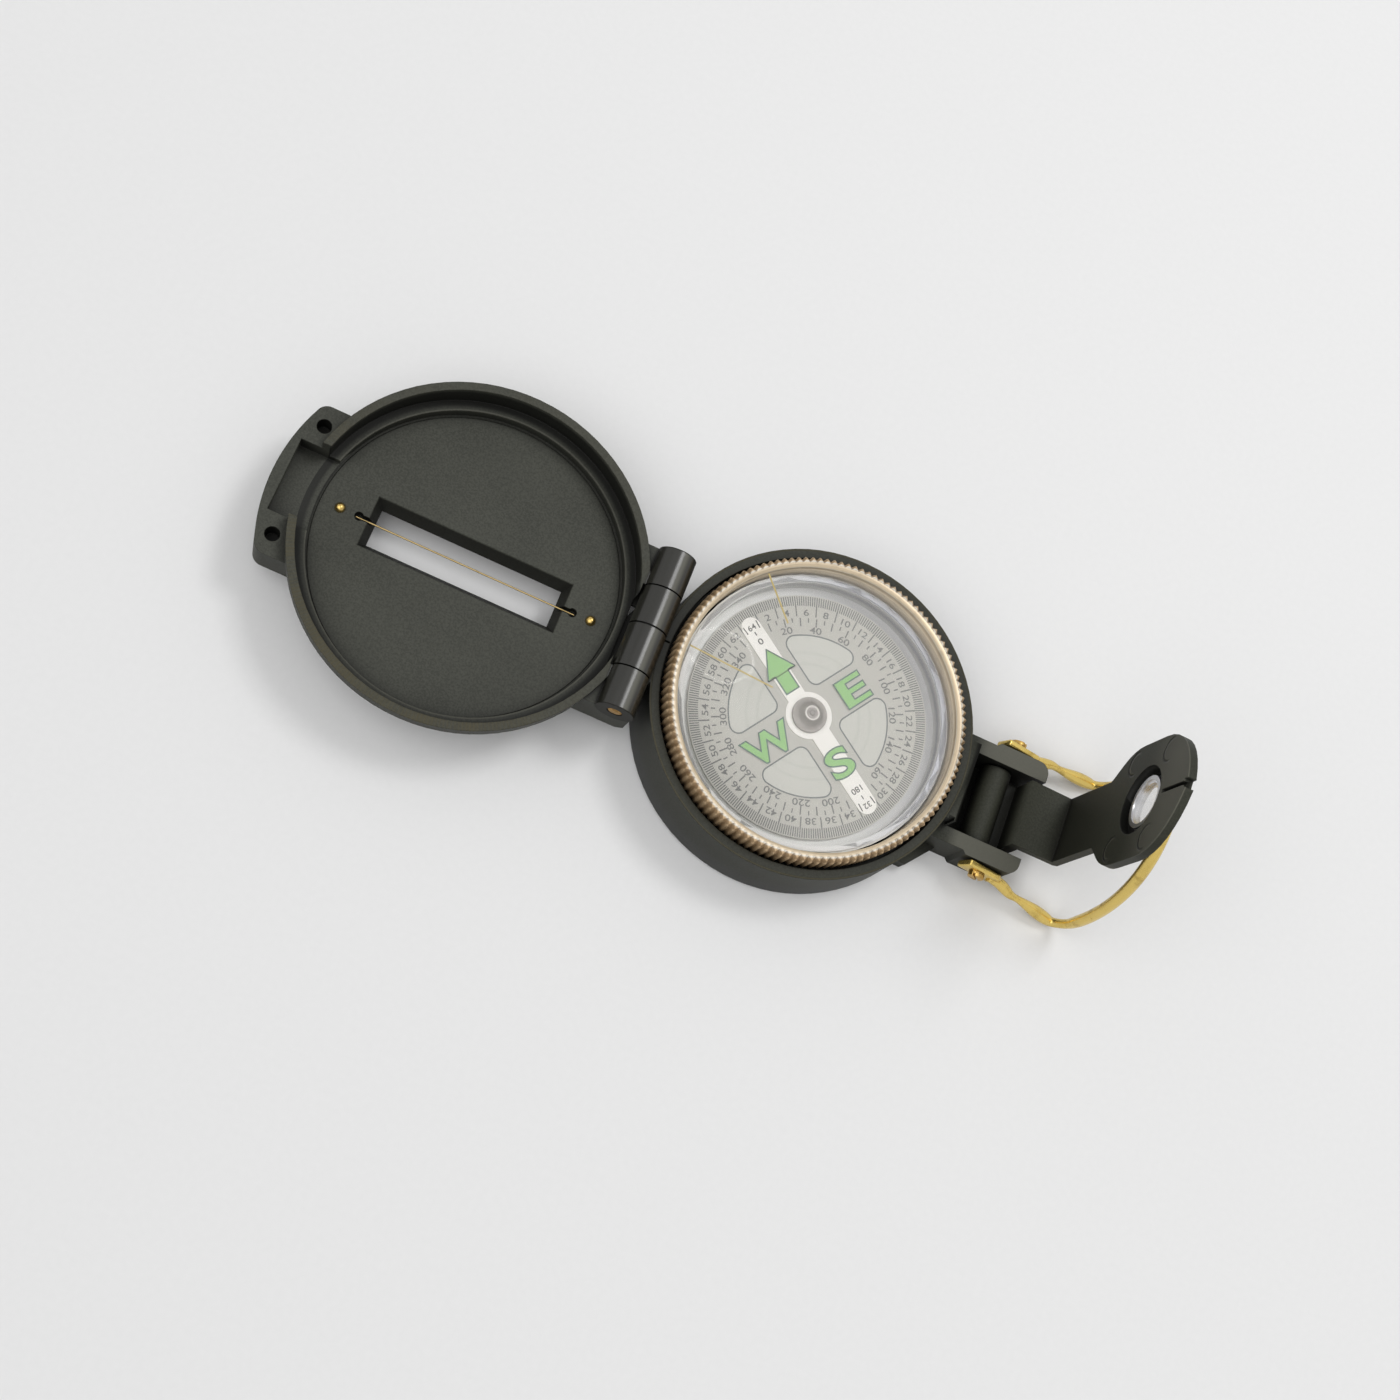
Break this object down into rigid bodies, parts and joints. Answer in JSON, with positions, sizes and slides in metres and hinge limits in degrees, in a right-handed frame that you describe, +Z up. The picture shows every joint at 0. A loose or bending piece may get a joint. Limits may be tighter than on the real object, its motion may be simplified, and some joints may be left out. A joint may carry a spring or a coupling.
{
  "type": "folding sighting compass",
  "caption": "Plastic folding sighting compass with a liquid capsule, knurled bezel, hinged lid with a sighting wire, fold-over lens eyepiece and wire thumb loop.",
  "frame": {"origin": "centre of the case's flat bottom, under the middle of the dial", "axes": "+X from the dial towards the eyepiece and thumb loop, -X towards the open lid; +Z up from the surface that the case lies on; +Y along the lid's hinge"},
  "size_m": [0.1499, 0.057, 0.0513],
  "materials": {
    "black_plastic": "satin moulded black",
    "pale_plastic": "smooth pale grey",
    "seal_rubber": "matt",
    "clear_plastic": "clear polished",
    "steel": "plain turned",
    "dial_card": "printed pale grey",
    "white_plastic": "printed white",
    "bezel_metal": "bright pale bronze plating",
    "hinge_brass": "dull drawn",
    "ring_brass": "bright plated wire",
    "silver_trim": "satin grey",
    "lens_glass": "clear polished"
  },
  "bodies": {
    "case": {"case_shell": "black_plastic", "capsule_cup": "pale_plastic", "capsule_seal": "seal_rubber", "capsule_cover": "clear_plastic", "pivot_post": "steel", "bezel_spring": "steel", "lid_hinge_pin": "hinge_brass", "eyepiece_pin": "steel", "ring_screw_left": "ring_brass", "ring_screw_right": "ring_brass"},
    "bezel": {"bezel_ring": "bezel_metal", "bezel_crystal": "clear_plastic"},
    "dial": {"dial_card": "dial_card", "needle_bar": "white_plastic", "dial_magnet": "steel", "jewel_cup": "steel"},
    "lid": {"lid_shell": "black_plastic", "sight_wire": "ring_brass", "wire_bead_hinge_side": "ring_brass", "wire_bead_tab_side": "ring_brass"},
    "eyepiece": {"eyepiece_bracket": "black_plastic", "lens_ring": "silver_trim", "lens_glass": "lens_glass"},
    "thumb_loop": {"thumb_ring": "ring_brass"}
  },
  "joints": [
    {"name": "lid_hinge", "type": "hinge", "parent": "case", "child": "lid", "pos_m": [-0.03007, 0, 0.0136], "axis": [0, 1, 0], "range_deg": [0, 180]},
    {"name": "bezel_turn", "type": "hinge", "parent": "case", "child": "bezel", "pos_m": [0, 0, 0.0133], "axis": [0, 0, 1], "continuous": true},
    {"name": "dial_swing", "type": "hinge", "parent": "case", "child": "dial", "pos_m": [0, 0, 0.011], "axis": [0, 0, 1], "continuous": true},
    {"name": "eyepiece_hinge", "type": "hinge", "parent": "case", "child": "eyepiece", "pos_m": [0.03495, 0, 0.00425], "axis": [0, -1, 0], "range_deg": [0, 90]},
    {"name": "thumb_loop_hinge", "type": "hinge", "parent": "case", "child": "thumb_loop", "pos_m": [0.0367, 0, 0.0059], "axis": [0, -1, 0], "range_deg": [-120, 4]}
  ]
}
